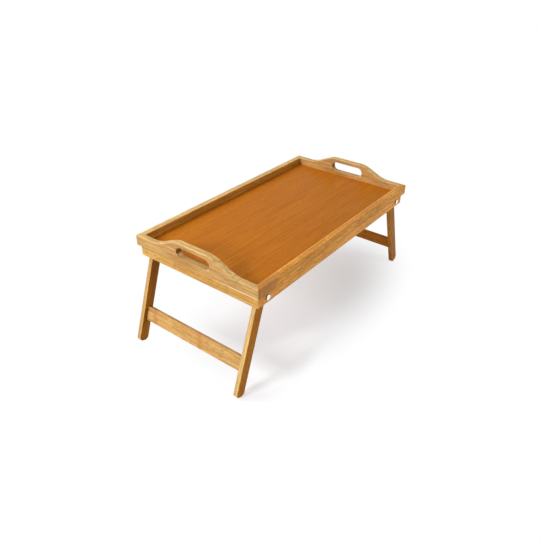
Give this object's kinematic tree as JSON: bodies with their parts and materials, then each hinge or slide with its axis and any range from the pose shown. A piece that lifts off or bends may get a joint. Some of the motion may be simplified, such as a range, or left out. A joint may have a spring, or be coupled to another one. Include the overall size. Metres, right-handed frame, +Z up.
{
  "type": "bed tray table",
  "caption": "Rimmed bamboo bed tray with hand slots in its raised end boards and splayed leg frames that fold flat under the panel.",
  "frame": {"origin": "on the floor, at the middle of the tray's length and width with the legs open", "axes": "+X along the tray's length towards the right end board, +Y from the front rail to the rear rail, +Z up"},
  "size_m": [0.5788, 0.278, 0.229],
  "materials": {
    "panel_bamboo": "carbonised bamboo board, fine straight fibres along the length, satin lacquer",
    "rim_bamboo": "natural bamboo, fibres along each strip, satin lacquer, eased edges",
    "apron_bamboo": "natural bamboo with knuckle bands, satin lacquer",
    "leg_bamboo": "natural bamboo, fibres along the leg, satin lacquer",
    "rail_bamboo": "slightly darker bamboo strip with knuckle bands, satin lacquer",
    "dowel_wood": "plain glued beech dowel",
    "pivot_nickel": "bright nickel plate",
    "washer_steel": "zinc plated"
  },
  "bodies": {
    "tray": {"tray_panel": "panel_bamboo", "front_rim": "rim_bamboo", "rear_rim": "rim_bamboo", "left_handle_board": "rim_bamboo", "right_handle_board": "rim_bamboo", "front_apron": "apron_bamboo", "rear_apron": "apron_bamboo", "left_apron": "apron_bamboo", "right_apron": "apron_bamboo", "pivot_bolts": "pivot_nickel", "pivot_washers": "washer_steel", "pivot_nuts": "pivot_nickel"},
    "left_leg_frame": {"front_left_leg": "leg_bamboo", "rear_left_leg": "leg_bamboo", "left_cross_rail": "rail_bamboo", "left_frame_dowels": "dowel_wood"},
    "right_leg_frame": {"front_right_leg": "leg_bamboo", "rear_right_leg": "leg_bamboo", "right_cross_rail": "rail_bamboo", "right_frame_dowels": "dowel_wood"}
  },
  "joints": [
    {"name": "left_leg_fold", "type": "hinge", "parent": "tray", "child": "left_leg_frame", "pos_m": [-0.221, 0, 0.1785], "axis": [0, -1, 0], "range_deg": [0, 109]},
    {"name": "right_leg_fold", "type": "hinge", "parent": "tray", "child": "right_leg_frame", "pos_m": [0.221, 0, 0.1785], "axis": [0, 1, 0], "range_deg": [0, 109]}
  ]
}
